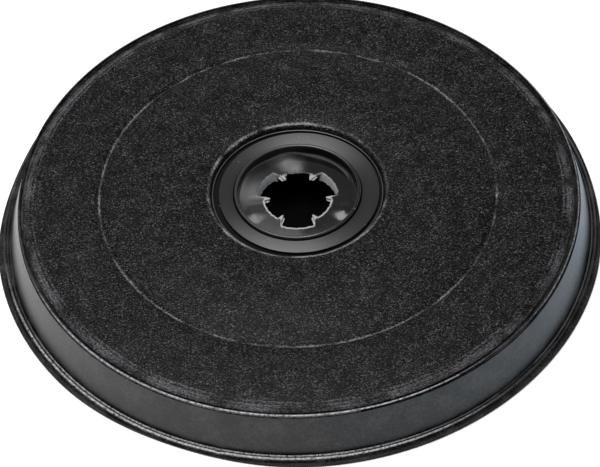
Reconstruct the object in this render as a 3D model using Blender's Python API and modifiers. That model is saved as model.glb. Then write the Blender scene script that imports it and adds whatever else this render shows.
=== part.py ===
"""Round carbon filter for a cooker hood, lying on its flange with the fleece side up.

All sizes are in metres and +Z is up. The origin is the centre of the underside, on the axis
of the hub. A moulded casing and a moulded grille hold the carbon between two layers of
fleece. A frame inside divides the carbon into cells and carries the bayonet hub.
"""

import math

import bmesh
import bpy
from mathutils import Matrix

# Clearances and smoothness
GAP = 0.0003
FIT = 0.0006
ROUND_STEPS = 60
HUB_STEPS = 48

# Base grille
FLANGE_RADIUS = 0.1175
BASE_RIM_THICKNESS = 0.0008
GRILLE_THICKNESS = 0.0020
GRILLE_BAND_WIDTH = 0.0070
GRILLE_RING_WIDTH = 0.0018
GRILLE_CENTRE_RADIUS = 0.0320
RIB_COUNT = 20
RIB_WIDTH = 0.0018
RIB_INSET = 0.0003

# Outer casing
BASE_LAND = 0.0015
FLANGE_WIDTH = 0.0032
FLANGE_THICKNESS = 0.0010
CASING_HEIGHT = 0.0187
WALL_LEAN = 0.0045
CASING_WALL = 0.0018
RIM_ROUND = 0.0005
LEDGE_DROP = 0.0019
LEDGE_WIDTH = 0.0030
LEDGE_THICKNESS = 0.0012

# Fleece
BOTTOM_FLEECE_THICKNESS = 0.0010
FLEECE_THICKNESS = 0.0015
SEALED_MARGIN = 0.0025
SEALED_THICKNESS = 0.0007
OUTER_ZONE_WIDTH = 0.0300
OUTER_PUFF = 0.0003
CREASE_WIDTH = 0.0024
CREASE_DEPTH = 0.0005
CREASE_RISE = 0.0007
CROWN_RISE = 0.0032
HUB_SLOPE_WIDTH = 0.0140
HUB_FALL = 0.0016
HUB_MARGIN = 0.0032
HUB_ROLL = 0.0010
FOOT_THICKNESS = 0.0010

# Cell frame
CELL_COUNT = 6
RING_WALL = 0.0016
CELL_WALL = 0.0016
HUB_TUBE_WALL = 0.0020
SHOULDER_THICKNESS = 0.0015
SEAT_WIDTH = 0.0025
SEAT_THICKNESS = 0.0015

# Hub collar
COLLAR_WIDTH = 0.0064
COLLAR_THICKNESS = 0.0015
COLLAR_ABOVE_RIM = 0.00035
COLLAR_BEVEL = 0.0003

# Bayonet socket
SOCKET_BORE = 0.0229
SOCKET_WALL = 0.0017
LIP_ABOVE_COLLAR = 0.0012
LIP_ROUND = 0.0004
RECESS_DEPTH = 0.0043
PLATE_THICKNESS = 0.0016
LOBE_COUNT = 3
LOBE_RADIUS = 0.0158
LOBE_HALF_ANGLE = math.radians(23.5)
ARC_RADIUS = 0.0130
TOOTH_RADIUS = 0.0108
TOOTH_START = math.radians(26.0)
TOOTH_SWEEP = math.radians(9.0)
TOOTH_LEAN = math.radians(1.5)
SKIRT_WALL = 0.0012
SKIRT_DEPTH = 0.0055
FIRST_LOBE = math.radians(-90.0)

# Heights that the stack of pieces gives
flange_low = BASE_RIM_THICKNESS + GAP
flange_top = flange_low + FLANGE_THICKNESS
bottom_fleece_low = GRILLE_THICKNESS + GAP
bottom_fleece_top = bottom_fleece_low + BOTTOM_FLEECE_THICKNESS
frame_low = bottom_fleece_top + GAP
ledge_top = CASING_HEIGHT - LEDGE_DROP
ledge_low = ledge_top - LEDGE_THICKNESS
cell_wall_top = ledge_low - GAP
collar_top = CASING_HEIGHT + COLLAR_ABOVE_RIM
collar_low = collar_top - COLLAR_THICKNESS
hub_tube_top = collar_low - GAP
foot_top = collar_low - GAP
foot_low = foot_top - FOOT_THICKNESS
shoulder_top = foot_low - GAP
shoulder_low = shoulder_top - SHOULDER_THICKNESS
lip_top = collar_top + LIP_ABOVE_COLLAR
plate_top = lip_top - RECESS_DEPTH
plate_low = plate_top - PLATE_THICKNESS
seat_top = frame_low + SEAT_THICKNESS
socket_low = seat_top + GAP

# Radii that follow from each other
casing_flange_radius = FLANGE_RADIUS - BASE_LAND
foot_radius = casing_flange_radius - FLANGE_WIDTH
rim_radius = foot_radius - WALL_LEAN
rim_bore = rim_radius - CASING_WALL
ledge_radius = rim_bore - LEDGE_WIDTH
fleece_radius = rim_bore - GAP
body_radius = fleece_radius - SEALED_MARGIN
socket_radius = SOCKET_BORE + SOCKET_WALL
hub_bore = socket_radius + GAP
hub_tube_radius = hub_bore + HUB_TUBE_WALL
collar_radius = hub_bore + COLLAR_WIDTH
hub_edge_radius = collar_radius + HUB_MARGIN
leg_inner_radius = hub_edge_radius - HUB_ROLL
leg_outer_radius = leg_inner_radius + FLEECE_THICKNESS
grille_body_radius = foot_radius - CASING_WALL - FIT

# Rings of the top fleece: the crease lies inside the rim, the crest outside the hub
crease_radius = rim_bore - OUTER_ZONE_WIDTH
crest_radius = hub_edge_radius + HUB_SLOPE_WIDTH

# Heights of the top fleece
body_height = ledge_top + GAP + FLEECE_THICKNESS
crease_height = body_height + CREASE_RISE
crest_height = crease_height + CROWN_RISE


def casing_bore(height):
    """Radius of the casing's sloping inner wall at a height."""
    share = (height - flange_top) / (CASING_HEIGHT - flange_top)
    return foot_radius - CASING_WALL - WALL_LEAN * share


def fleece_top(radius):
    """Height of the top fleece's upper face, without the pressed crease."""
    if radius >= crease_radius:
        share = (body_radius - radius) / (body_radius - crease_radius)
        return body_height + CREASE_RISE * share + OUTER_PUFF * math.sin(math.pi * share)
    if radius >= crest_radius:
        share = (crease_radius - radius) / (crease_radius - crest_radius)
        return crease_height + CROWN_RISE * math.sin(math.pi / 2 * share)
    share = (crest_radius - radius) / (crest_radius - hub_edge_radius)
    return crest_height - HUB_FALL * (1 - math.cos(math.pi / 2 * share))


def fleece_low(radius):
    """Height of the top fleece's underside."""
    return fleece_top(radius) - FLEECE_THICKNESS


def steps_between(start, end, count):
    """Evenly spaced values from start to end, both included."""
    return [start + (end - start) * i / count for i in range(count + 1)]


def clear_scene():
    """Remove whatever the scene holds."""
    for obj in list(bpy.data.objects):
        bpy.data.objects.remove(obj, do_unlink=True)
    for group in list(bpy.data.collections):
        bpy.data.collections.remove(group)


def new_collection(name):
    """Add a collection to the scene."""
    group = bpy.data.collections.new(name)
    bpy.context.scene.collection.children.link(group)
    return group


def finish(obj, colour, roughness, metallic=0.0):
    """Give an object its own plain material."""
    mat = bpy.data.materials.new(obj.name)
    mat.use_nodes = True
    shader = mat.node_tree.nodes["Principled BSDF"]
    shader.inputs["Base Color"].default_value = (*colour, 1.0)
    shader.inputs["Roughness"].default_value = roughness
    shader.inputs["Metallic"].default_value = metallic
    obj.data.materials.append(mat)
    return obj


def black_plastic(obj):
    """Satin black moulded plastic."""
    return finish(obj, (0.028, 0.027, 0.028), 0.40)


def gloss_plastic(obj):
    """Glossier black plastic of the hub."""
    return finish(obj, (0.020, 0.020, 0.020), 0.22)


def charcoal_fleece(obj):
    """Dark non-woven fleece."""
    return finish(obj, (0.022, 0.021, 0.022), 0.95)


def carbon_granules(obj):
    """Matt black activated carbon."""
    return finish(obj, (0.010, 0.010, 0.010), 0.85)


def place(name, bm, group):
    """Turn a bmesh into a named object in a collection."""
    mesh = bpy.data.meshes.new(name)
    bm.to_mesh(mesh)
    bm.free()
    obj = bpy.data.objects.new(name, mesh)
    group.objects.link(obj)
    return obj


def turned(name, profiles, steps, group):
    """Turn one or more (radius, height) profiles once round the Z axis.

    A profile that starts and ends on the axis stays open; any other is a closed loop.
    """
    bm = bmesh.new()
    for profile in profiles:
        verts = [bm.verts.new((radius, 0.0, height)) for radius, height in profile]
        for first, second in zip(verts, verts[1:]):
            bm.edges.new((first, second))
        if profile[0][0] > 0.0:
            bm.edges.new((verts[-1], verts[0]))
    obj = place(name, bm, group)
    screw = obj.modifiers.new("Turn", "SCREW")
    screw.axis = "Z"
    screw.angle = 2 * math.pi
    screw.steps = steps
    screw.render_steps = steps
    screw.use_merge_vertices = True
    screw.merge_threshold = 0.00001
    return obj


def swept(name, profile, starts, sweep, steps, group):
    """Sweep a closed profile part of a turn about Z, once from each starting angle."""
    bm = bmesh.new()
    for start in starts:
        verts = [bm.verts.new((radius, 0.0, height)) for radius, height in profile]
        face = bm.faces.new(verts)
        turn = Matrix.Rotation(start, 3, "Z")
        bmesh.ops.rotate(bm, cent=(0, 0, 0), matrix=turn, verts=verts)
        geom = verts + list(face.edges) + [face]
        bmesh.ops.spin(
            bm, geom=geom, cent=(0, 0, 0), axis=(0, 0, 1), dvec=(0, 0, 0),
            angle=sweep, steps=steps, use_duplicate=False,
        )
    bmesh.ops.recalc_face_normals(bm, faces=bm.faces)
    return place(name, bm, group)


def radial_bars(name, count, inner, outer, width, low, high, group):
    """A ring of separate upright bars that run straight out from the axis."""
    bm = bmesh.new()
    centre = Matrix.Translation(((inner + outer) / 2, 0.0, (low + high) / 2))
    size = Matrix.Diagonal((outer - inner, width, high - low, 1.0))
    for i in range(count):
        turn = Matrix.Rotation(2 * math.pi * i / count, 4, "Z")
        bmesh.ops.create_cube(bm, size=1.0, matrix=turn @ centre @ size)
    return place(name, bm, group)


def flat_outline(name, points, low, high, group):
    """A flat closed outline with straight sides between two heights."""
    curve = bpy.data.curves.new(name + "_outline", "CURVE")
    curve.dimensions = "2D"
    curve.fill_mode = "BOTH"
    curve.extrude = (high - low) / 2
    spline = curve.splines.new("POLY")
    spline.points.add(len(points) - 1)
    for point, (x, y) in zip(spline.points, points):
        point.co = (x, y, 0.0, 1.0)
    spline.use_cyclic_u = True
    outline = bpy.data.objects.new(name + "_outline", curve)
    outline.location.z = (low + high) / 2
    group.objects.link(outline)
    bpy.context.view_layer.update()
    evaluated = outline.evaluated_get(bpy.context.evaluated_depsgraph_get())
    mesh = bpy.data.meshes.new_from_object(evaluated)
    bm = bmesh.new()
    bm.from_mesh(mesh)
    bmesh.ops.remove_doubles(bm, verts=bm.verts, dist=0.00001)
    bmesh.ops.recalc_face_normals(bm, faces=bm.faces)
    obj = place(name, bm, group)
    obj.matrix_world = outline.matrix_world
    bpy.data.objects.remove(outline, do_unlink=True)
    return obj


def combine(obj, tool, operation):
    """Join a tool to an object, or cut it away."""
    tool.hide_render = True
    tool.display_type = "WIRE"
    modifier = obj.modifiers.new(tool.name, "BOOLEAN")
    modifier.operation = operation
    modifier.solver = "EXACT"
    modifier.object = tool


def ring_profile(inner, outer, low, high):
    """Square section of a plain ring."""
    return [(inner, high), (outer, high), (outer, low), (inner, low)]


def base_grille(parts, cutters):
    """Flat underside: outer band, open ribs and rings, closed centre under the hub."""
    band_inner = grille_body_radius - GRILLE_BAND_WIDTH
    band = [
        (band_inner, GRILLE_THICKNESS),
        (grille_body_radius, GRILLE_THICKNESS),
        (grille_body_radius, BASE_RIM_THICKNESS),
        (FLANGE_RADIUS, BASE_RIM_THICKNESS),
        (FLANGE_RADIUS, 0.0),
        (band_inner, 0.0),
    ]
    centre = [
        (0.0, GRILLE_THICKNESS),
        (GRILLE_CENTRE_RADIUS, GRILLE_THICKNESS),
        (GRILLE_CENTRE_RADIUS, 0.0),
        (0.0, 0.0),
    ]
    rings = [
        ring_profile(
            radius - GRILLE_RING_WIDTH / 2, radius + GRILLE_RING_WIDTH / 2,
            0.0, GRILLE_THICKNESS,
        )
        for radius in (
            (GRILLE_CENTRE_RADIUS + crease_radius) / 2,
            crease_radius,
            (crease_radius + band_inner) / 2,
        )
    ]
    grille = turned("base_grille", [band, centre] + rings, ROUND_STEPS, parts)
    ribs = radial_bars(
        "grille_ribs", RIB_COUNT, GRILLE_CENTRE_RADIUS - RIB_WIDTH, band_inner + RIB_WIDTH,
        RIB_WIDTH, RIB_INSET, GRILLE_THICKNESS - RIB_INSET, cutters,
    )
    combine(grille, ribs, "UNION")
    return black_plastic(grille)


def outer_casing(parts):
    """Tapered side wall with a flange at its foot and a ledge for the fleece at its rim."""
    outline = [
        (rim_bore + RIM_ROUND, CASING_HEIGHT),
        (rim_radius - RIM_ROUND, CASING_HEIGHT),
        (rim_radius, CASING_HEIGHT - RIM_ROUND),
        (foot_radius, flange_top),
        (casing_flange_radius, flange_top),
        (casing_flange_radius, flange_low),
        (foot_radius - CASING_WALL, flange_low),
        (foot_radius - CASING_WALL, flange_top),
        (casing_bore(ledge_low), ledge_low),
        (ledge_radius, ledge_low),
        (ledge_radius, ledge_top),
        (rim_bore, ledge_top),
        (rim_bore, CASING_HEIGHT - RIM_ROUND),
    ]
    return black_plastic(turned("outer_casing", [outline], ROUND_STEPS, parts))


def top_fleece(parts):
    """Crowned fleece, pressed thin at its rim and clamped under the collar at its hub."""
    half_crease = CREASE_WIDTH / 2
    outer_zone = steps_between(body_radius, crease_radius + half_crease, 3)
    crown = steps_between(crease_radius - half_crease, crest_radius, 4)
    hub_side = steps_between(crest_radius, hub_edge_radius, 3)[1:]
    sealed_low = ledge_top + GAP
    upper = [(radius, fleece_top(radius)) for radius in reversed(outer_zone)]
    upper.insert(0, (crease_radius, crease_height - CREASE_DEPTH))
    for radius in crown + hub_side:
        upper.insert(0, (radius, fleece_top(radius)))
    edge = [
        (fleece_radius, sealed_low + SEALED_THICKNESS),
        (fleece_radius, sealed_low),
    ]
    lower = [
        (radius, fleece_low(radius))
        for radius in outer_zone[:1] + [crease_radius] + crown + hub_side
        if radius > leg_outer_radius + FLEECE_THICKNESS
    ]
    leg = [
        (leg_outer_radius, fleece_low(leg_outer_radius) - FLEECE_THICKNESS / 2),
        (leg_outer_radius, foot_low),
        (hub_tube_radius + FIT, foot_low),
        (hub_tube_radius + FIT, foot_top),
        (leg_inner_radius, foot_top),
        (leg_inner_radius, fleece_top(hub_edge_radius) - HUB_ROLL),
    ]
    outline = upper + edge + lower + leg
    return charcoal_fleece(turned("top_fleece", [outline], ROUND_STEPS, parts))


def bottom_fleece(parts):
    """Plain fleece disc that lies on the grille and keeps the carbon in."""
    radius = casing_bore(bottom_fleece_top) - FIT
    outline = [
        (0.0, bottom_fleece_top),
        (radius, bottom_fleece_top),
        (radius, bottom_fleece_low),
        (0.0, bottom_fleece_low),
    ]
    return charcoal_fleece(turned("bottom_fleece", [outline], ROUND_STEPS, parts))


def cell_frame(parts, cutters):
    """Hub tube with its shoulder and seat, wall under the crease, and radial walls."""
    tube = [
        (hub_tube_radius, hub_tube_top),
        (hub_tube_radius, shoulder_top),
        (leg_outer_radius, shoulder_top),
        (leg_outer_radius, shoulder_low),
        (hub_tube_radius, shoulder_low),
        (hub_tube_radius, frame_low),
        (hub_bore - SEAT_WIDTH, frame_low),
        (hub_bore - SEAT_WIDTH, seat_top),
        (hub_bore, seat_top),
        (hub_bore, hub_tube_top),
    ]
    wall_outer = crease_radius + RING_WALL / 2
    wall = ring_profile(
        crease_radius - RING_WALL / 2, wall_outer, frame_low, fleece_low(wall_outer) - GAP
    )
    frame = turned("cell_frame", [tube, wall], HUB_STEPS, parts)
    walls = radial_bars(
        "cell_walls", CELL_COUNT, (hub_bore + hub_tube_radius) / 2,
        casing_bore(cell_wall_top) - FIT, CELL_WALL, frame_low + GAP, cell_wall_top, cutters,
    )
    combine(frame, walls, "UNION")
    return black_plastic(frame)


def hub_collar(parts):
    """Flat ring on top of the hub tube that clamps the fleece's foot."""
    outline = [
        (hub_bore + COLLAR_BEVEL, collar_top),
        (collar_radius - COLLAR_BEVEL, collar_top),
        (collar_radius, collar_top - COLLAR_BEVEL),
        (collar_radius, collar_low),
        (hub_bore, collar_low),
        (hub_bore, collar_top - COLLAR_BEVEL),
    ]
    return gloss_plastic(turned("hub_collar", [outline], HUB_STEPS, parts))


def polar(radius, angle):
    """Point at a radius and an angle in the XY plane."""
    return (radius * math.cos(angle), radius * math.sin(angle))


def bayonet_hole():
    """Outline of the hole: three wide lobes with a pair of teeth beside each."""
    pitch = 2 * math.pi / LOBE_COUNT
    tooth_end = TOOTH_START + TOOTH_SWEEP
    arc_start = tooth_end + TOOTH_LEAN
    points = []
    for i in range(LOBE_COUNT):
        middle = FIRST_LOBE + i * pitch
        for angle in steps_between(-LOBE_HALF_ANGLE, LOBE_HALF_ANGLE, 6):
            points.append(polar(LOBE_RADIUS, middle + angle))
        for angle in (TOOTH_START, tooth_end):
            points.append(polar(TOOTH_RADIUS, middle + angle))
        for angle in steps_between(arc_start, pitch - arc_start, 6):
            points.append(polar(ARC_RADIUS, middle + angle))
        for angle in (pitch - tooth_end, pitch - TOOTH_START):
            points.append(polar(TOOTH_RADIUS, middle + angle))
    return points


def bayonet_socket(parts, cutters):
    """Cup with a raised lip, a sunk plate with the bayonet hole, and a skirt at each lobe."""
    outline = [
        (0.0, plate_top),
        (SOCKET_BORE, plate_top),
        (SOCKET_BORE, lip_top - LIP_ROUND),
        (SOCKET_BORE + LIP_ROUND, lip_top),
        (socket_radius - LIP_ROUND, lip_top),
        (socket_radius, lip_top - LIP_ROUND),
        (socket_radius, socket_low),
        (SOCKET_BORE, socket_low),
        (SOCKET_BORE, plate_low),
        (0.0, plate_low),
    ]
    socket = turned("bayonet_socket", [outline], HUB_STEPS, parts)
    skirt = ring_profile(
        LOBE_RADIUS - SKIRT_WALL, LOBE_RADIUS + SKIRT_WALL,
        plate_top - SKIRT_DEPTH, (plate_top + plate_low) / 2,
    )
    reach = LOBE_HALF_ANGLE + SKIRT_WALL / LOBE_RADIUS
    starts = [FIRST_LOBE - reach + 2 * math.pi * i / LOBE_COUNT for i in range(LOBE_COUNT)]
    skirts = swept("lobe_skirts", skirt, starts, 2 * reach, 8, cutters)
    hole = flat_outline(
        "bayonet_hole", bayonet_hole(), plate_top - SKIRT_DEPTH - FIT, plate_top + FIT, cutters
    )
    combine(socket, skirts, "UNION")
    combine(socket, hole, "DIFFERENCE")
    return gloss_plastic(socket)


def carbon_fill(parts, name, outline, inner):
    """One solid of granules for each cell of a ring of cells."""
    pitch = 2 * math.pi / CELL_COUNT
    margin = (CELL_WALL / 2 + GAP) / inner
    for i in range(CELL_COUNT):
        start = i * pitch + margin
        fill = swept(f"{name}_{i + 1}", outline, [start], pitch - 2 * margin, 6, parts)
        carbon_granules(fill)


def inner_carbon(parts):
    """Granules between the hub and the wall under the crease, heaped under the crown."""
    inner = hub_tube_radius + FIT
    heap_radius = leg_outer_radius + 2 * FLEECE_THICKNESS
    outer = crease_radius - RING_WALL / 2 - FIT
    under_shoulder = shoulder_low - GAP
    outline = [(inner, under_shoulder), (heap_radius, under_shoulder)]
    for radius in steps_between(heap_radius, outer, 5):
        outline.append((radius, fleece_low(radius) - FIT))
    outline += [(outer, frame_low), (inner, frame_low)]
    carbon_fill(parts, "carbon_inner", outline, inner)


def outer_carbon(parts):
    """Granules between the wall under the crease and the casing."""
    inner = crease_radius + RING_WALL / 2 + FIT
    shelf = ledge_radius - FIT
    outline = [(inner, fleece_low(inner) - FIT), (shelf, fleece_low(shelf) - FIT)]
    outline += [(shelf, cell_wall_top), (casing_bore(cell_wall_top) - FIT, cell_wall_top)]
    outline += [(casing_bore(frame_low) - FIT, frame_low), (inner, frame_low)]
    carbon_fill(parts, "carbon_outer", outline, inner)


def shade_round(group):
    """Shade the round faces smooth and keep the edges crisp."""
    for obj in group.objects:
        obj.data.shade_smooth()
        obj.data.set_sharp_from_angle(angle=math.radians(30))


def build():
    """Build every piece of the filter."""
    clear_scene()
    parts = new_collection("carbon_filter")
    cutters = new_collection("cutters")
    base_grille(parts, cutters)
    outer_casing(parts)
    bottom_fleece(parts)
    cell_frame(parts, cutters)
    inner_carbon(parts)
    outer_carbon(parts)
    top_fleece(parts)
    hub_collar(parts)
    bayonet_socket(parts, cutters)
    shade_round(parts)
    bpy.context.view_layer.update()


build()
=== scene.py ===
"""Looks of a round carbon filter for a cooker hood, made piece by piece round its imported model.

Lengths are in metres, written as millimetres times MM. The hub's axis is Z, the flange lies on
the floor at height 0, and the near side of the filter is towards -Y.
"""

import math
import random

import bmesh
import bpy
from mathutils import Matrix, Quaternion, Vector


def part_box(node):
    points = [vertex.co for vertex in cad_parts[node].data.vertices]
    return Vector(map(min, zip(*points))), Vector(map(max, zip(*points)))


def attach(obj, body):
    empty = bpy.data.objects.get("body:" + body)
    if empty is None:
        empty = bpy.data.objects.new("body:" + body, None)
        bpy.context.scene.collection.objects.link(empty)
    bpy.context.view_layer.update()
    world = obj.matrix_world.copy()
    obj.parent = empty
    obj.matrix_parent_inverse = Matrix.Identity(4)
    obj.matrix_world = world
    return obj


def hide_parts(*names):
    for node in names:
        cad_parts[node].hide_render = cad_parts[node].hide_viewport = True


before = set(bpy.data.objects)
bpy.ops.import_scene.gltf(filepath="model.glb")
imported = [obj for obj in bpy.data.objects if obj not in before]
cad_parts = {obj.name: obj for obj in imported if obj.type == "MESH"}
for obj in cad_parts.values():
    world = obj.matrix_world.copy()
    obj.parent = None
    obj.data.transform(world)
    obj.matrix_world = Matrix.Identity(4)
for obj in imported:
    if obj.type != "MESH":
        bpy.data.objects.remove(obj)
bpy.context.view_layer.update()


# Camera. A long lens nearly in front of the filter and high above it, turned a little on its
# own axis, as the photograph was taken.
MM = 0.001
CAMERA_AIM = Vector((0.3 * MM, -4.6 * MM, 0.0))
CAMERA_DISTANCE = 1114.1 * MM
CAMERA_AZIMUTH = math.radians(1.99)
CAMERA_ELEVATION = math.radians(48.84)
CAMERA_ROLL = math.radians(-2.84)
CAMERA_LENS = 171.95
CAMERA_SENSOR = 36.0

towards_camera = Vector((
    math.sin(CAMERA_AZIMUTH) * math.cos(CAMERA_ELEVATION),
    -math.cos(CAMERA_AZIMUTH) * math.cos(CAMERA_ELEVATION),
    math.sin(CAMERA_ELEVATION),
))
bpy.ops.object.select_all(action="DESELECT")
bpy.ops.object.camera_add(location=CAMERA_AIM + towards_camera * CAMERA_DISTANCE)
camera = bpy.context.object
camera.name = "photo_camera"
camera.rotation_mode = "QUATERNION"
level_view = (-towards_camera).to_track_quat("-Z", "Y")
camera.rotation_quaternion = level_view @ Quaternion((0.0, 0.0, 1.0), CAMERA_ROLL)
camera.data.lens = CAMERA_LENS
camera.data.sensor_width = CAMERA_SENSOR
camera.data.dof.use_dof = False
bpy.context.scene.camera = camera
bpy.context.scene.view_settings.view_transform = "Standard"


# Studio. A white paper floor with a white horizon under a grey ceiling, and one large soft box
# overhead, a little to the left. To the camera the paper is plain white. In what the filter mirrors, it
# glows brighter beyond both sides of the filter than in front of it, and cooler on the right, as a
# painted reflection of side light.
FLOOR_SIZE = 6.0
FLOOR_DROP = 0.1 * MM
FLOOR_WHITE = "#F2F2F2"
REFLECTED_FLOOR_COOL = "#C2CFDA"
FLOOR_GLOW = 0.30
FLOOR_GLOW_FRONT = 0.34
FLOOR_GLOW_SIDE = 1.00
FLOOR_GLOW_RIGHT = 1.30
FLOOR_FADE = 0.12
AIR_LIGHT = "#6E7378"
AIR_WHITE = "#FFFFFF"
CEILING_GREY = "#848586"
HORIZON_RISE = 0.25
CEILING_RISE = 0.60
SOFT_BOX_PLACE = Vector((-0.15, 0.05, 1.00))
SOFT_BOX_WIDTH = 0.70
SOFT_BOX_DEPTH = 1.00
SOFT_BOX_RADIANCE = 5.5


def linear(code):
    """An sRGB hex colour as linear red, green and blue, with full alpha."""
    parts = [int(code[i:i + 2], 16) / 255 for i in (1, 3, 5)]
    return [c / 12.92 if c <= 0.04045 else ((c + 0.055) / 1.055) ** 2.4 for c in parts] + [1.0]


def set_up(tree, node, settings=(), links=()):
    """Set a node's properties or sockets by name, and link sources to its sockets.

    A node given as a source stands for its first output.
    """
    for name, value in dict(settings).items():
        if isinstance(name, str) and hasattr(node, name):
            setattr(node, name, value)
        else:
            node.inputs[name].default_value = value
    for name, source in dict(links).items():
        if isinstance(source, bpy.types.Node):
            source = source.outputs[0]
        tree.links.new(source, node.inputs[name])


def add_node(tree, kind, settings=(), links=()):
    """Add a node with its settings and links."""
    node = tree.nodes.new(kind)
    set_up(tree, node, settings, links)
    return node


def mirrored_rays(tree):
    """The light path's node, and one for rays that a surface mirrors or lets through."""
    rays = add_node(tree, "ShaderNodeLightPath")
    return rays, add_node(
        tree, "ShaderNodeMath", {"operation": "ADD"},
        {0: rays.outputs["Is Glossy Ray"], 1: rays.outputs["Is Transmission Ray"]},
    )


bpy.ops.object.select_all(action="DESELECT")
bpy.ops.mesh.primitive_plane_add(size=FLOOR_SIZE, location=(0.0, 0.0, -FLOOR_DROP))
floor = bpy.context.object
floor.name = "paper_floor"

paper = bpy.data.materials.new("white_studio_paper")
paper.use_nodes = True
tree = paper.node_tree
tree.nodes.clear()
rays, mirrored = mirrored_rays(tree)
place = add_node(tree, "ShaderNodeTexCoord")
place = add_node(tree, "ShaderNodeSeparateXYZ", {}, {0: place.outputs["Object"]})
# Painted reflection: in mirrored rays only, the paper glows brighter beyond the filter's sides and
# turns cooler on the right.
aside = add_node(tree, "ShaderNodeMath", {"operation": "ABSOLUTE"}, {0: place.outputs["X"]})
aside = add_node(tree, "ShaderNodeMapRange", {"From Max": FLOOR_FADE}, {"Value": aside})
aside = add_node(tree, "ShaderNodeMath", {"operation": "POWER", 1: 3.0}, {0: aside})
to_right = add_node(
    tree, "ShaderNodeMapRange",
    {"From Min": -FLOOR_FADE, "From Max": FLOOR_FADE,
     "To Min": FLOOR_GLOW_SIDE, "To Max": FLOOR_GLOW_RIGHT},
    {"Value": place.outputs["X"]},
)
across = add_node(
    tree, "ShaderNodeMapRange", {"To Min": FLOOR_GLOW_FRONT}, {"Value": aside, "To Max": to_right}
)
painted_reflection_tint = add_node(
    tree, "ShaderNodeMapRange", {"From Max": FLOOR_FADE}, {"Value": place.outputs["X"]}
)
painted_reflection_tint = add_node(tree, "ShaderNodeMath", {"operation": "MULTIPLY"}, {0: painted_reflection_tint, 1: mirrored})
mirror_level = add_node(tree, "ShaderNodeMath", {"operation": "MULTIPLY"}, {0: mirrored, 1: across})
glow_level = add_node(
    tree, "ShaderNodeMath", {"operation": "MULTIPLY_ADD", 1: FLOOR_GLOW},
    {0: rays.outputs["Is Camera Ray"], 2: mirror_level},
)
paper_colour = add_node(
    tree, "ShaderNodeMixRGB", {1: linear(FLOOR_WHITE), 2: linear(REFLECTED_FLOOR_COOL)}, {0: painted_reflection_tint}
)
matt = add_node(tree, "ShaderNodeBsdfDiffuse", {}, {"Color": paper_colour})
glow = add_node(tree, "ShaderNodeEmission", {}, {"Color": paper_colour, "Strength": glow_level})
lit = add_node(tree, "ShaderNodeAddShader", {}, {0: matt, 1: glow})
from_below = add_node(tree, "ShaderNodeNewGeometry")
clear = add_node(tree, "ShaderNodeBsdfTransparent")
sheet = add_node(
    tree, "ShaderNodeMixShader", {}, {0: from_below.outputs["Backfacing"], 1: lit, 2: clear}
)
add_node(tree, "ShaderNodeOutputMaterial", {}, {"Surface": sheet})
floor.data.materials.append(paper)

air = bpy.data.worlds.new("studio_air")
air.use_nodes = True
bpy.context.scene.world = air
tree = air.node_tree
tree.nodes.clear()
rays, mirrored = mirrored_rays(tree)
direction = add_node(tree, "ShaderNodeTexCoord")
direction = add_node(tree, "ShaderNodeSeparateXYZ", {}, {0: direction.outputs["Generated"]})
height = add_node(
    tree, "ShaderNodeMapRange", {"From Min": HORIZON_RISE, "From Max": CEILING_RISE},
    {"Value": direction.outputs["Z"]},
)
room = add_node(tree, "ShaderNodeMixRGB", {1: linear(AIR_WHITE), 2: linear(CEILING_GREY)}, {0: height})
shade = add_node(tree, "ShaderNodeMixRGB", {1: linear(AIR_LIGHT)}, {0: mirrored, 2: room})
shade = add_node(
    tree, "ShaderNodeMixRGB", {2: linear(AIR_WHITE)}, {0: rays.outputs["Is Camera Ray"], 1: shade}
)
sky = add_node(tree, "ShaderNodeBackground", {}, {"Color": shade})
add_node(tree, "ShaderNodeOutputWorld", {}, {"Surface": sky})

bpy.ops.object.light_add(type="AREA", location=SOFT_BOX_PLACE)
soft_box = bpy.context.object
soft_box.name = "overhead_soft_box"
soft_box.data.shape = "RECTANGLE"
soft_box.data.size = SOFT_BOX_WIDTH
soft_box.data.size_y = SOFT_BOX_DEPTH
soft_box.data.energy = SOFT_BOX_RADIANCE * math.pi * SOFT_BOX_WIDTH * SOFT_BOX_DEPTH
soft_box.visible_camera = False


# Base grille. The flat lower moulding of black polypropylene: an outer band whose thin rim
# shows under the flange, three rings and twenty ribs, and a closed centre below the hub. Its
# thin rim has warped a little out of round in three places.
HUB_AXIS = (0.0, 0.0, 1.0)
FILTER_CENTRE = (0.0, 0.0, 0.0)
grille_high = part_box("base_grille")[1]
FLANGE_RADIUS = grille_high.x
GRILLE_TOP = grille_high.z
GRILLE_RIM_TOP = 0.8 * MM
GRILLE_STEP_RADIUS = 110.4 * MM
GRILLE_BAND_BORE = 103.4 * MM
GRILLE_RING_RADII = (54.25 * MM, 76.5 * MM, 89.95 * MM)
GRILLE_RING_WIDTH = 1.8 * MM
GRILLE_CENTRE_RADIUS = 32.0 * MM
RIB_COUNT = 20
RIB_WIDTH = 1.8 * MM
RIB_INSET = 0.3 * MM
RIB_OVERLAP = 1.8 * MM
GRILLE_STEPS = 240
SMOOTH_BELOW = math.radians(35)
SAME_PLACE = 0.001 * MM
POLYPROPYLENE_BLACK = "#040405"
POLYPROPYLENE_GREY = "#363536"
POLYPROPYLENE_SPECK = "#050505"
POLYPROPYLENE_HIGHLIGHT = "#CACACC"
MELT_CLOUD = 9 * MM
MOULD_GRAIN = 1.0 * MM
SPECK_WIDTH = 1.1 * MM
KNURL_PITCH = 0.85 * MM
KNURL_HALF_WIDTH = 0.6 * MM
KNURL_SLANT = 0.7
GRILLE_DENTS = ((-112.0, 1.4 * MM), (10.0, 1.0 * MM), (165.0, 1.7 * MM))
DENT_REACH = 55 * MM


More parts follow.
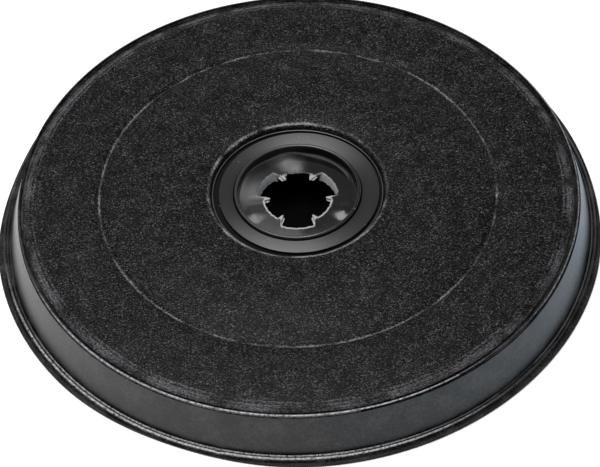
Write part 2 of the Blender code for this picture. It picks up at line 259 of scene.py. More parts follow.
def pick(piece, wanted):
    """In edit mode, select only the vertices whose place passes the test."""
    bpy.ops.mesh.select_mode(type="VERT")
    bpy.ops.mesh.select_all(action="DESELECT")
    mesh = bmesh.from_edit_mesh(piece.data)
    for vert in mesh.verts:
        if wanted(vert.co):
            vert.select_set(True)
    mesh.select_flush_mode()
    bmesh.update_edit_mesh(piece.data)


def pull(step):
    """Extrude what is selected in edit mode, and move it by a step."""
    bpy.ops.mesh.extrude_region_move(TRANSFORM_OT_translate={"value": step})


def turn(name, outline, steps):
    """Draw an outline of (radius, height, rounding) corners and spin it once round the hub axis.

    An outline that starts on the axis stays open there; any other is closed into a ring.
    """
    bpy.ops.object.select_all(action="DESELECT")
    bpy.ops.mesh.primitive_plane_add(size=MM, location=FILTER_CENTRE)
    piece = bpy.context.object
    piece.name = name
    piece.data.name = name
    bpy.ops.object.mode_set(mode="EDIT")
    bpy.ops.mesh.merge(type="CENTER")
    bpy.ops.transform.translate(value=(outline[0][0], 0.0, outline[0][1]))
    for here, there in zip(outline, outline[1:]):
        pull((there[0] - here[0], 0.0, there[1] - here[1]))
    if outline[0][0] > 0.0:
        ends = [Vector((corner[0], 0.0, corner[1])) for corner in (outline[0], outline[-1])]
        pick(piece, lambda place: any((place - end).length < SAME_PLACE for end in ends))
        bpy.ops.mesh.edge_face_add()
    for radius, height, rounding in outline:
        if rounding > 0.0:
            corner = Vector((radius, 0.0, height))
            pick(piece, lambda place: (place - corner).length < SAME_PLACE)
            bpy.ops.mesh.bevel(offset=rounding, segments=4, affect="VERTICES")
    bpy.ops.mesh.select_all(action="SELECT")
    bpy.ops.mesh.spin(steps=steps, angle=2 * math.pi, center=FILTER_CENTRE, axis=HUB_AXIS)
    bpy.ops.mesh.select_all(action="SELECT")
    bpy.ops.mesh.remove_doubles(threshold=SAME_PLACE)
    bpy.ops.mesh.normals_make_consistent(inside=False)
    bpy.ops.object.mode_set(mode="OBJECT")
    bpy.ops.object.shade_smooth_by_angle(angle=SMOOTH_BELOW)
    return piece


def choose(pieces):
    """Select only these pieces, with the first one active."""
    bpy.ops.object.select_all(action="DESELECT")
    for piece in pieces:
        piece.select_set(True)
    bpy.context.view_layer.objects.active = pieces[0]


def apply_modifier(piece, kind, **settings):
    """Add one modifier to a piece, set it, and apply it."""
    choose([piece])
    bpy.ops.object.modifier_add(type=kind)
    modifier = piece.modifiers[-1]
    for name, value in settings.items():
        setattr(modifier, name, value)
    bpy.ops.object.modifier_apply(modifier=modifier.name)


def join(pieces):
    """Join pieces into the first one."""
    choose(pieces)
    bpy.ops.object.join()
    return pieces[0]


def new_material(name):
    """A new material, its node tree, its Principled shader, and its place on the piece."""
    material = bpy.data.materials.new(name)
    material.use_nodes = True
    tree = material.node_tree
    place = add_node(tree, "ShaderNodeTexCoord").outputs["Object"]
    return material, tree, tree.nodes["Principled BSDF"], place


def coat(piece, *materials):
    """Give a piece its materials, numbered in this order."""
    piece.data.materials.clear()
    for material in materials:
        piece.data.materials.append(material)


def ring_mask(tree, radius, centre, half_width):
    """One on a circle round the hub axis, fading to nothing at half a width on either side."""
    away = add_node(tree, "ShaderNodeMath", {"operation": "SUBTRACT", 1: centre}, {0: radius})
    away = add_node(tree, "ShaderNodeMath", {"operation": "ABSOLUTE"}, {0: away})
    return add_node(
        tree, "ShaderNodeMapRange",
        {"interpolation_type": "SMOOTHSTEP", "From Max": half_width,
         "To Min": 1.0, "To Max": 0.0},
        {"Value": away},
    )


def radius_of(tree, place):
    """Distance of a place from the hub axis."""
    flat = add_node(tree, "ShaderNodeMapping", {"Scale": (1.0, 1.0, 0.0)}, {"Vector": place})
    return add_node(tree, "ShaderNodeVectorMath", {"operation": "LENGTH"}, {0: flat}).outputs["Value"]


def beside(tree, place, angle, spread):
    """One in a direction from the hub axis, in degrees, fading to nothing a spread away."""
    aim = (math.cos(math.radians(angle)), math.sin(math.radians(angle)), 0.0)
    flat = add_node(tree, "ShaderNodeMapping", {"Scale": (1.0, 1.0, 0.0)}, {"Vector": place})
    flat = add_node(tree, "ShaderNodeVectorMath", {"operation": "NORMALIZE"}, {0: flat})
    share = add_node(tree, "ShaderNodeVectorMath", {"operation": "DOT_PRODUCT", 1: aim}, {0: flat})
    return add_node(
        tree, "ShaderNodeMapRange",
        {"interpolation_type": "SMOOTHSTEP", "From Min": math.cos(math.radians(spread)),
         "From Max": math.cos(math.radians(spread / 2))},
        {"Value": share.outputs["Value"]},
    )


def moulded_polypropylene(name, gloss=0.36, shine=1.49, painted_highlights=(), knurl_radius=0.0):
    """Black polypropylene, injection moulded in a lightly textured tool.

    The eye sees a satin black skin with faint clouds where the melt flowed, a fine even grain of about
    a millimetre, and a few darker specks. Each highlight ring, a radius, half a width, a direction, a
    spread and a strength, is a painted highlight: pale colour, broken up by the grain, on the side
    where a bead catches the light. A ring at knurl_radius carries the fine slanting teeth of the
    welding tool, 0.85 mm apart.
    """
    material, tree, shader, place = new_material(name)
    flow = add_node(
        tree, "ShaderNodeTexNoise", {"Scale": 1 / MELT_CLOUD, "Detail": 4.0, "Roughness": 0.6},
        {"Vector": place},
    )
    grain = add_node(
        tree, "ShaderNodeTexNoise", {"Scale": 1 / MOULD_GRAIN, "Detail": 3.0, "Roughness": 0.7},
        {"Vector": place},
    )
    cloud = add_node(tree, "ShaderNodeMath", {"operation": "ADD"}, {0: flow, 1: grain})
    cloud = add_node(tree, "ShaderNodeMapRange", {"From Min": 0.91, "From Max": 1.24}, {"Value": cloud})
    tone = add_node(
        tree, "ShaderNodeMixRGB", {1: linear(POLYPROPYLENE_BLACK), 2: linear(POLYPROPYLENE_GREY)},
        {0: cloud},
    )
    speck = add_node(
        tree, "ShaderNodeTexNoise", {"Scale": 1 / SPECK_WIDTH, "Detail": 1.0}, {"Vector": place}
    )
    speck = add_node(tree, "ShaderNodeMapRange", {"From Min": 0.72, "From Max": 0.76}, {"Value": speck})
    tone = add_node(tree, "ShaderNodeMixRGB", {2: linear(POLYPROPYLENE_SPECK)}, {0: speck, 1: tone})
    radius = radius_of(tree, place)
    if painted_highlights:
        highlight_breakup = add_node(
            tree, "ShaderNodeMapRange", {"From Min": 0.35, "From Max": 0.60}, {"Value": grain}
        )
    # Each highlight ring paints pale colour on one side of a bead, broken up by the grain.
    for centre, half_width, angle, spread, strength in painted_highlights:
        ring = ring_mask(tree, radius, centre, half_width)
        side = beside(tree, place, angle, spread)
        highlight_and_wear = add_node(tree, "ShaderNodeMath", {"operation": "MULTIPLY"}, {0: ring, 1: highlight_breakup})
        highlight_and_wear = add_node(tree, "ShaderNodeMath", {"operation": "MULTIPLY"}, {0: highlight_and_wear, 1: side})
        highlight_and_wear = add_node(tree, "ShaderNodeMath", {"operation": "MULTIPLY", 1: strength}, {0: highlight_and_wear})
        tone = add_node(tree, "ShaderNodeMixRGB", {2: linear(POLYPROPYLENE_HIGHLIGHT)}, {0: highlight_and_wear, 1: tone})
    skin = add_node(
        tree, "ShaderNodeBump", {"Strength": 0.35, "Distance": 0.05 * MM}, {"Height": grain}
    )
    gloss = add_node(
        tree, "ShaderNodeMapRange", {"To Min": gloss - 0.08, "To Max": gloss + 0.08}, {"Value": flow}
    )
    gloss = add_node(
        tree, "ShaderNodeMath", {"operation": "MULTIPLY_ADD", 1: 0.4}, {0: speck, 2: gloss}
    )
    if knurl_radius:
        sides = add_node(tree, "ShaderNodeSeparateXYZ", {}, {0: place})
        angle = add_node(
            tree, "ShaderNodeMath", {"operation": "ARCTAN2"},
            {0: sides.outputs["Y"], 1: sides.outputs["X"]},
        )
        slant = add_node(
            tree, "ShaderNodeMath", {"operation": "MULTIPLY_ADD", 1: KNURL_SLANT / knurl_radius},
            {0: radius, 2: angle},
        )
        teeth = add_node(
            tree, "ShaderNodeMath",
            {"operation": "MULTIPLY", 1: round(2 * math.pi * knurl_radius / KNURL_PITCH)},
            {0: slant},
        )
        teeth = add_node(tree, "ShaderNodeMath", {"operation": "SINE"}, {0: teeth})
        band = ring_mask(tree, radius, knurl_radius, KNURL_HALF_WIDTH)
        ridges = add_node(tree, "ShaderNodeMath", {"operation": "MULTIPLY"}, {0: teeth, 1: band})
        skin = add_node(
            tree, "ShaderNodeBump", {"Strength": 1.0, "Distance": 0.10 * MM},
            {"Height": ridges, "Normal": skin},
        )
    set_up(tree, shader, {"IOR": shine}, {"Base Color": tone, "Roughness": gloss, "Normal": skin})
    return material


def swell(piece, place, reach, move):
    """Pull the vertex nearest a place by a move, and those around it less, out to a reach."""
    choose([piece])
    nearest = min(piece.data.vertices, key=lambda vert: (vert.co - place).length).co.copy()
    bpy.ops.object.mode_set(mode="EDIT")
    pick(piece, lambda here: (here - nearest).length < SAME_PLACE)
    bpy.ops.transform.translate(
        value=move, use_proportional_edit=True, proportional_edit_falloff="SMOOTH",
        proportional_size=reach,
    )
    bpy.ops.object.mode_set(mode="OBJECT")


def around(radius, angle, height):
    """A place at a radius, an angle in degrees and a height round the hub axis."""
    angle = math.radians(angle)
    return Vector((radius * math.cos(angle), radius * math.sin(angle), height))


band = turn("grille_band", [
    (GRILLE_BAND_BORE, GRILLE_TOP, 0.3 * MM),
    (GRILLE_STEP_RADIUS, GRILLE_TOP, 0.2 * MM),
    (GRILLE_STEP_RADIUS, GRILLE_RIM_TOP, 0.1 * MM),
    (FLANGE_RADIUS, GRILLE_RIM_TOP, 0.15 * MM),
    (FLANGE_RADIUS, 0.0, 0.15 * MM),
    (GRILLE_BAND_BORE, 0.0, 0.3 * MM),
], GRILLE_STEPS)
centre = turn("grille_centre", [
    (0.0, GRILLE_TOP, 0.0),
    (GRILLE_CENTRE_RADIUS, GRILLE_TOP, 0.3 * MM),
    (GRILLE_CENTRE_RADIUS, 0.0, 0.3 * MM),
    (0.0, 0.0, 0.0),
], GRILLE_STEPS)
rings = [
    turn("grille_ring", [
        (radius + side * GRILLE_RING_WIDTH / 2, height, 0.3 * MM)
        for side, height in ((-1, GRILLE_TOP), (1, GRILLE_TOP), (1, 0.0), (-1, 0.0))
    ], GRILLE_STEPS)
    for radius in GRILLE_RING_RADII
]
grille = join([band, centre] + rings)
grille.name = "base_grille_moulding"
grille.data.name = grille.name

rib_start = GRILLE_CENTRE_RADIUS - RIB_OVERLAP
rib_end = GRILLE_BAND_BORE + RIB_OVERLAP
bpy.ops.object.select_all(action="DESELECT")
bpy.ops.mesh.primitive_cube_add(
    size=1.0, location=((rib_start + rib_end) / 2, 0.0, GRILLE_TOP / 2),
    scale=(rib_end - rib_start, RIB_WIDTH, GRILLE_TOP - 2 * RIB_INSET),
)
rib = bpy.context.object
bpy.ops.object.transform_apply(location=True, rotation=True, scale=True)
bpy.ops.object.mode_set(mode="EDIT")
bpy.ops.mesh.select_all(action="SELECT")
bpy.ops.mesh.bevel(offset=0.35 * MM, segments=2, affect="EDGES")
bpy.ops.object.mode_set(mode="OBJECT")
ribs = [rib]
for i in range(1, RIB_COUNT):
    copy = rib.copy()
    copy.data = rib.data.copy()
    bpy.context.collection.objects.link(copy)
    copy.data.transform(Matrix.Rotation(2 * math.pi * i / RIB_COUNT, 4, "Z"))
    ribs.append(copy)
ribs = join(ribs)
apply_modifier(grille, "BOOLEAN", operation="UNION", solver="EXACT", object=ribs)
bpy.data.objects.remove(ribs)
bpy.ops.object.shade_smooth_by_angle(angle=SMOOTH_BELOW)
for angle, depth in GRILLE_DENTS:
    swell(grille, around(FLANGE_RADIUS, angle, 0.0), DENT_REACH, around(-depth, angle, 0.0))
coat(grille, moulded_polypropylene("moulded_polypropylene_grille", gloss=0.58, shine=1.28))
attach(grille, "root")
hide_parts("base_grille")


# Bottom fleece. A thin disc of black non-woven polyester that lies on the grille, seen from below
# through its openings. Under the hub it is black with carbon dust.
felt_low, felt_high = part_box("bottom_fleece")
BOTTOM_FLEECE_RADIUS = felt_high.x
BOTTOM_FLEECE_STEPS = 120
DUST_RADIUS = 31.0 * MM
FLEECE_GAP = "#010101"
FLEECE_BLACK = "#121112"
FLEECE_FIBRE = "#6A686B"
FLEECE_PRESSED = "#8A888B"
CARBON_DUST = "#020202"
FLEECE_GLOSS = 0.37
STRAND_WIDTH = 0.42 * MM
STRAND_STRETCH = 0.45
STRAND_TURNS = (-12, 47, -71)
MOTTLE_WIDTH = 7 * MM
MOTTLE_DEPTH = 0.04
FRAY_WIDTH = 0.9 * MM
FRAY = 0.8 * MM
PRESSED_PATCH = 13 * MM
NAP_HEIGHT = 0.13 * MM


def nonwoven_fleece(name, shine, pressed=(), dusted=0.0):
    """Black polyester fleece, needled and heat set, with no weave.

    The eye sees a charcoal mat of short fibres lying every way over black gaps, with a fine
    glitter, paler and smoother where a hot tool has pressed a ring into it. Real fibres are
    about 0.03 mm thick, and are drawn here over ten times coarser, so that they show. Each
    pressed ring is a radius, half a width and a strength; inside the dusted radius all is black.
    """
    material, tree, shader, place = new_material(name)
    strands = None
    for turn_by in STRAND_TURNS:
        lie = add_node(
            tree, "ShaderNodeMapping",
            {"Rotation": (0.0, 0.0, math.radians(turn_by)), "Scale": (STRAND_STRETCH, 1.0, 1.0)},
            {"Vector": place},
        )
        lane = add_node(
            tree, "ShaderNodeTexNoise",
            {"Scale": 1 / STRAND_WIDTH, "Detail": 1.5, "Roughness": 0.6, "Distortion": 0.3},
            {"Vector": lie},
        )
        strands = lane if strands is None else add_node(
            tree, "ShaderNodeMath", {"operation": "MAXIMUM"}, {0: strands, 1: lane}
        )
    speckle = add_node(
        tree, "ShaderNodeTexNoise", {"Scale": 1 / STRAND_WIDTH, "Detail": 1.0}, {"Vector": place}
    )
    mottle = add_node(
        tree, "ShaderNodeTexNoise", {"Scale": 1 / MOTTLE_WIDTH, "Detail": 3.0, "Roughness": 0.55},
        {"Vector": place},
    )
    mottle = add_node(
        tree, "ShaderNodeMapRange",
        {"From Min": 0.25, "From Max": 0.75, "To Min": -MOTTLE_DEPTH, "To Max": MOTTLE_DEPTH},
        {"Value": mottle},
    )
    depth = add_node(
        tree, "ShaderNodeMath", {"operation": "MULTIPLY_ADD", 1: 0.6}, {0: speckle, 2: strands}
    )
    depth = add_node(tree, "ShaderNodeMath", {"operation": "ADD"}, {0: depth, 1: mottle})
    body = add_node(tree, "ShaderNodeMapRange", {"From Min": 0.76, "From Max": 0.96}, {"Value": depth})
    tone = add_node(
        tree, "ShaderNodeMixRGB", {1: linear(FLEECE_GAP), 2: linear(FLEECE_BLACK)}, {0: body}
    )
    pale = add_node(tree, "ShaderNodeMapRange", {"From Min": 0.92, "From Max": 1.14}, {"Value": depth})
    tone = add_node(tree, "ShaderNodeMixRGB", {2: linear(FLEECE_FIBRE)}, {0: pale, 1: tone})
    fray = add_node(
        tree, "ShaderNodeTexNoise", {"Scale": 1 / FRAY_WIDTH, "Detail": 2.0}, {"Vector": place}
    )
    fray = add_node(tree, "ShaderNodeMapRange", {"To Min": -FRAY, "To Max": FRAY}, {"Value": fray})
    radius = add_node(
        tree, "ShaderNodeMath", {"operation": "ADD"}, {0: radius_of(tree, place), 1: fray}
    )
    if pressed:
        patch = add_node(
            tree, "ShaderNodeTexNoise", {"Scale": 1 / PRESSED_PATCH, "Detail": 2.0}, {"Vector": place}
        )
        patch = add_node(
            tree, "ShaderNodeMapRange", {"From Min": 0.42, "From Max": 0.58, "To Min": 0.10},
            {"Value": patch},
        )
        upper = add_node(
            tree, "ShaderNodeMapRange", {"From Min": 0.70, "From Max": 0.95}, {"Value": depth}
        )
        patch = add_node(tree, "ShaderNodeMath", {"operation": "MULTIPLY"}, {0: patch, 1: upper})
    gloss = None
    for centre, half_width, strength in pressed:
        amount = add_node(
            tree, "ShaderNodeMath", {"operation": "MULTIPLY", 1: strength},
            {0: ring_mask(tree, radius, centre, half_width)},
        )
        pressing = add_node(tree, "ShaderNodeMath", {"operation": "MULTIPLY"}, {0: amount, 1: patch})
        tone = add_node(tree, "ShaderNodeMixRGB", {2: linear(FLEECE_PRESSED)}, {0: pressing, 1: tone})
        gloss = add_node(
            tree, "ShaderNodeMath", {"operation": "MULTIPLY_ADD", 1: -0.10, 2: FLEECE_GLOSS},
            {0: pressing, 2: gloss} if gloss else {0: pressing},
        )
    if dusted:
        dust = add_node(
            tree, "ShaderNodeMapRange",
            {"From Min": dusted, "From Max": dusted + 2 * MM, "To Min": 1.0, "To Max": 0.0},
            {"Value": radius},
        )
        tone = add_node(tree, "ShaderNodeMixRGB", {2: linear(CARBON_DUST)}, {0: dust, 1: tone})
    nap = add_node(tree, "ShaderNodeBump", {"Strength": 0.9, "Distance": NAP_HEIGHT}, {"Height": depth})
    set_up(
        tree, shader, {"Roughness": FLEECE_GLOSS, "IOR": 1.5, "Specular IOR Level": shine},
        {"Base Color": tone, "Normal": nap},
    )
    if gloss:
        set_up(tree, shader, {}, {"Roughness": gloss})
    return material


quarters = [BOTTOM_FLEECE_RADIUS * i / 4 for i in range(4)]
bottom = turn(
    "bottom_fleece_disc",
    [(radius, felt_high.z, 0.0) for radius in quarters]
    + [(BOTTOM_FLEECE_RADIUS, height, 0.3 * MM) for height in (felt_high.z, felt_low.z)]
    + [(radius, felt_low.z, 0.0) for radius in reversed(quarters)],
    BOTTOM_FLEECE_STEPS,
)
coat(bottom, nonwoven_fleece("nonwoven_fleece_lower", 0.02, dusted=DUST_RADIUS))
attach(bottom, "root")
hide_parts("bottom_fleece")


# Cell frame. One plain moulding hidden between the fleeces, with the hub tube, the round wall
# below the crease and the radial walls. Its own shape is right, so it only gets its plastic.
coat(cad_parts["cell_frame"], moulded_polypropylene("moulded_polypropylene_frame"))


# Carbon. Twelve cells filled with loose activated carbon granules, poured in and held by the two
# fleeces. Each fill is kept as one shape.
CARBON_BLACK = "#0B0B0B"
CARBON_GREY = "#242424"
GRANULE = 1.6 * MM


def activated_carbon():
    """Activated carbon, crushed and sieved: matt black grains with small bright faces."""
    material, tree, shader, place = new_material("activated_carbon_granules")
    grains = add_node(tree, "ShaderNodeTexVoronoi", {"Scale": 1 / GRANULE}, {"Vector": place})
    heap = add_node(
        tree, "ShaderNodeBump", {"Strength": 1.0, "Distance": 0.8 * MM, "invert": True},
        {"Height": grains.outputs["Distance"]},
    )
    tone = add_node(
        tree, "ShaderNodeMixRGB", {1: linear(CARBON_BLACK), 2: linear(CARBON_GREY)},
        {0: grains.outputs["Color"]},
    )
    set_up(tree, shader, {"Roughness": 0.6}, {"Base Color": tone, "Normal": heap})
    return material


carbon = activated_carbon()
for name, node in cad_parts.items():
    if name.startswith("carbon_"):
        coat(node, carbon)


# Outer casing. One moulding of black polypropylene: a stepped flange, a side wall that leans in, a
# beaded rim, and a ledge that the fleece is welded to. The flange carries the welding tool's fine
# teeth, its bead has one nick and one bump, and black dust fills its grooves. Pale painted highlights
# lie on the rim bead, the teeth and the flange bead, mostly on the near side and faintly on the right.
casing_low, casing_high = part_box("outer_casing")
CASING_FLANGE_RADIUS = casing_high.x
CASING_TOP = casing_high.z
CASING_FOOT = casing_low.z
FLANGE_TOP = 2.1 * MM
FLANGE_GROOVE = 1.6 * MM
WALL_FOOT_RADIUS = 112.8 * MM
WALL_TOP_RADIUS = 108.6 * MM
RIM_RADIUS = 108.15 * MM
RIM_BORE = 106.5 * MM
RIM_SHELF = CASING_TOP - 1.1 * MM
BEAD_WIDTH = 0.70 * MM
LEDGE_TOP = CASING_TOP - 1.9 * MM
LEDGE_LOW = LEDGE_TOP - 1.2 * MM
LEDGE_BORE = 103.5 * MM
CASING_WALL = 1.8 * MM
CASING_STEPS = 360
KNURL_RADIUS = WALL_FOOT_RADIUS + 0.80 * MM
BEAD_RADIUS = WALL_FOOT_RADIUS + 2.05 * MM
BEAD_MARKS = ((-105.0, 1.6 * MM, -0.7 * MM), (170.0, 2.4 * MM, 0.35 * MM))
DUSTY_RINGS = (
    (RIM_BORE - 0.1 * MM, RIM_RADIUS - BEAD_WIDTH - 0.05 * MM),
    (RIM_RADIUS, WALL_TOP_RADIUS - 0.1 * MM),
    (WALL_FOOT_RADIUS + 0.02 * MM, WALL_FOOT_RADIUS + 0.46 * MM),
    (WALL_FOOT_RADIUS + 1.10 * MM, WALL_FOOT_RADIUS + 1.60 * MM),
    (WALL_FOOT_RADIUS + 2.48 * MM, CASING_FLANGE_RADIUS + 0.1 * MM),
)
CASING_DENTS = ((174.0, 0.8 * MM), (-45.0, -0.4 * MM))
# Painted highlights, pale where the beads and teeth face the soft box: a radius, half a width, a
# direction, a spread and a strength.
PAINTED_HIGHLIGHT_RINGS = (
    (RIM_RADIUS - 0.25 * MM, 0.45 * MM, -101.0, 62.0, 0.9),
    (RIM_RADIUS - 0.25 * MM, 0.45 * MM, -5.0, 50.0, 0.4),
    (KNURL_RADIUS, 0.55 * MM, -108.0, 50.0, 0.9),
    (BEAD_RADIUS, 0.60 * MM, -110.0, 66.0, 1.0),
)

casing = turn("outer_casing_moulding", [
    (RIM_BORE, RIM_SHELF, 0.15 * MM),
    (RIM_RADIUS - BEAD_WIDTH - 0.1 * MM, RIM_SHELF, 0.1 * MM),
    (RIM_RADIUS - BEAD_WIDTH, CASING_TOP - 0.04 * MM, 0.08 * MM),
    (RIM_RADIUS - BEAD_WIDTH + 0.15 * MM, CASING_TOP, 0.08 * MM),
    (RIM_RADIUS - 0.03 * MM, CASING_TOP - 0.23 * MM, 0.08 * MM),
    (RIM_RADIUS, CASING_TOP - 1.35 * MM, 0.05 * MM),
    (WALL_TOP_RADIUS - 0.15 * MM, CASING_TOP - 1.35 * MM, 0.05 * MM),
    (WALL_TOP_RADIUS, CASING_TOP - 0.95 * MM, 0.12 * MM),
    (WALL_FOOT_RADIUS, FLANGE_TOP, 0.05 * MM),
    (WALL_FOOT_RADIUS + 0.10 * MM, FLANGE_GROOVE + 0.1 * MM, 0.08 * MM),
    (WALL_FOOT_RADIUS + 0.42 * MM, FLANGE_GROOVE + 0.1 * MM, 0.06 * MM),
    (WALL_FOOT_RADIUS + 0.48 * MM, FLANGE_TOP, 0.06 * MM),
    (WALL_FOOT_RADIUS + 1.08 * MM, FLANGE_TOP - 0.23 * MM, 0.06 * MM),
    (WALL_FOOT_RADIUS + 1.12 * MM, FLANGE_GROOVE - 0.1 * MM, 0.05 * MM),
    (WALL_FOOT_RADIUS + 1.55 * MM, FLANGE_GROOVE - 0.1 * MM, 0.05 * MM),
    (WALL_FOOT_RADIUS + 1.62 * MM, FLANGE_TOP - 0.02 * MM, 0.06 * MM),
    (WALL_FOOT_RADIUS + 2.45 * MM, FLANGE_TOP - 0.34 * MM, 0.08 * MM),
    (WALL_FOOT_RADIUS + 2.50 * MM, CASING_FOOT + 0.06 * MM, 0.03 * MM),
    (CASING_FLANGE_RADIUS - 0.05 * MM, CASING_FOOT + 0.03 * MM, 0.0),
    (CASING_FLANGE_RADIUS, CASING_FOOT, 0.0),
    (WALL_FOOT_RADIUS - CASING_WALL, CASING_FOOT, 0.1 * MM),
    (WALL_FOOT_RADIUS - CASING_WALL, FLANGE_TOP, 0.2 * MM),
    (RIM_BORE + 0.55 * MM, LEDGE_LOW, 0.2 * MM),
    (LEDGE_BORE, LEDGE_LOW, 0.2 * MM),
    (LEDGE_BORE, LEDGE_TOP, 0.2 * MM),
    (RIM_BORE, LEDGE_TOP, 0.1 * MM),
], CASING_STEPS)
for angle, depth in CASING_DENTS:
    swell(casing, around(RIM_RADIUS, angle, CASING_TOP), 1.3 * DENT_REACH, around(-depth, angle, 0.0))
for angle, reach, rise in BEAD_MARKS:
    swell(casing, around(BEAD_RADIUS, angle, FLANGE_TOP), reach, (0.0, 0.0, rise))
coat(
    casing,
    moulded_polypropylene(
        "moulded_polypropylene_casing", painted_highlights=PAINTED_HIGHLIGHT_RINGS, knurl_radius=KNURL_RADIUS
    ),
    moulded_polypropylene("dusty_polypropylene", gloss=0.7, shine=1.15),
)
for face in casing.data.polygons:
    radius = face.center.xy.length
    if any(inner < radius < outer for inner, outer in DUSTY_RINGS) and (
        face.center.z < FLANGE_TOP - 0.1 * MM or face.center.z > LEDGE_TOP + 0.2 * MM
    ):
        face.material_index = 1
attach(casing, "root")
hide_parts("outer_casing")


# Top fleece. A disc of black non-woven polyester with a hole for the hub, welded down at the
# rim, pressed along one ring, crowned inside it, and tucked under the collar.
fleece_low, fleece_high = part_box("top_fleece")
FLEECE_RADIUS = fleece_high.x
CREST_HEIGHT = fleece_high.z
FLEECE_THICKNESS = 1.5 * MM
WELD_RADIUS = 103.7 * MM
WELD_LOW = LEDGE_TOP + 0.3 * MM
BODY_HEIGHT = 18.6 * MM
CREASE_RADIUS = 76.5 * MM
CREASE_HEIGHT = 19.3 * MM
CREASE_WIDTH = 2.4 * MM
CREASE_DEPTH = 0.5 * MM
CREST_RADIUS = 48.5 * MM
HUB_EDGE_RADIUS = 34.5 * MM
HUB_EDGE_HEIGHT = 20.9 * MM
OUTER_PUFF = 1.1 * MM
PUFF_RADIUS = 80.5 * MM
FOOT_RADIUS = 27.5 * MM
FOOT_LOW = fleece_low.z
FOOT_TOP = FOOT_LOW + 1.0 * MM
LEG_RADIUS = 33.5 * MM
FLEECE_STEPS = 240
FLEECE_RINGS = 2.4 * MM
LUMP_WIDTH = 11 * MM
LUMP_HEIGHT = 0.5 * MM
TUFT_WIDTH = 2.4 * MM
TUFT_HEIGHT = 0.30 * MM


def fleece_height(radius):
    """Height of the fleece's face at a radius, the crease left out."""
    if radius >= CREASE_RADIUS:
        share = (WELD_RADIUS - radius) / (WELD_RADIUS - CREASE_RADIUS)
        rise = (CREASE_HEIGHT - BODY_HEIGHT) * share
        if radius < PUFF_RADIUS:
            near = (radius - CREASE_RADIUS) / (PUFF_RADIUS - CREASE_RADIUS)
            return BODY_HEIGHT + rise + OUTER_PUFF * math.sin(math.pi / 2 * near)
        fall = (radius - PUFF_RADIUS) / (WELD_RADIUS - PUFF_RADIUS)
        return BODY_HEIGHT + rise + OUTER_PUFF * (1 - fall * fall)
    if radius >= CREST_RADIUS:
        share = (CREASE_RADIUS - radius) / (CREASE_RADIUS - CREST_RADIUS)
        return CREASE_HEIGHT + (CREST_HEIGHT - CREASE_HEIGHT) * math.sin(math.pi / 2 * share)
    share = (CREST_RADIUS - radius) / (CREST_RADIUS - HUB_EDGE_RADIUS)
    fall = CREST_HEIGHT - HUB_EDGE_HEIGHT
    return CREST_HEIGHT - fall * (1 - math.cos(math.pi / 2 * share))


def evenly(start, end, spacing):
    """Radii from start to end, both included, about one spacing apart."""
    count = max(1, round(abs(end - start) / spacing))
    return [start + (end - start) * i / count for i in range(count + 1)]


hub_side = evenly(HUB_EDGE_RADIUS + 0.4 * MM, CREASE_RADIUS - CREASE_WIDTH / 2, FLEECE_RINGS)
rim_side = evenly(CREASE_RADIUS + CREASE_WIDTH / 2, WELD_RADIUS - 0.6 * MM, FLEECE_RINGS)
face = [(radius, fleece_height(radius), 0.0) for radius in hub_side]
face += [
    (CREASE_RADIUS - 0.4 * MM, CREASE_HEIGHT - CREASE_DEPTH * 0.8, 0.0),
    (CREASE_RADIUS + 0.4 * MM, CREASE_HEIGHT - CREASE_DEPTH, 0.0),
]
face += [(radius, fleece_height(radius), 0.0) for radius in rim_side]
weld = [
    (WELD_RADIUS + 0.2 * MM, BODY_HEIGHT - 0.20 * MM, 0.0),
    (WELD_RADIUS + 0.9 * MM, WELD_LOW + 0.85 * MM, 0.0),
    (WELD_RADIUS + 1.4 * MM, WELD_LOW + 0.65 * MM, 0.0),
    (WELD_RADIUS + 1.9 * MM, WELD_LOW + 0.80 * MM, 0.0),
    (WELD_RADIUS + 2.3 * MM, WELD_LOW + 0.60 * MM, 0.0),
    (FLEECE_RADIUS, WELD_LOW + 0.30 * MM, 0.0),
    (FLEECE_RADIUS, WELD_LOW, 0.0),
    (WELD_RADIUS, WELD_LOW, 0.0),
]
under = [
    (radius, fleece_height(radius) - FLEECE_THICKNESS, 0.0)
    for radius in evenly(WELD_RADIUS - 1.5 * MM, HUB_EDGE_RADIUS + 2.5 * MM, 3 * FLEECE_RINGS)
]
tuck = [
    (LEG_RADIUS + FLEECE_THICKNESS, HUB_EDGE_HEIGHT - 2.4 * MM, 0.0),
    (LEG_RADIUS + FLEECE_THICKNESS, FOOT_LOW + 0.4 * MM, 0.0),
    (LEG_RADIUS + FLEECE_THICKNESS - 0.4 * MM, FOOT_LOW, 0.0),
    (FOOT_RADIUS, FOOT_LOW, 0.0),
    (FOOT_RADIUS, FOOT_TOP, 0.0),
    (LEG_RADIUS - 0.6 * MM, FOOT_TOP, 0.0),
    (LEG_RADIUS, FOOT_TOP + 0.6 * MM, 0.0),
    (LEG_RADIUS, HUB_EDGE_HEIGHT - 1.2 * MM, 0.0),
    (LEG_RADIUS + 0.35 * MM, HUB_EDGE_HEIGHT - 0.35 * MM, 0.0),
]
fleece = turn("top_fleece_disc", face + weld + under + tuck, FLEECE_STEPS)
apply_modifier(fleece, "SUBSURF", levels=1, render_levels=1)

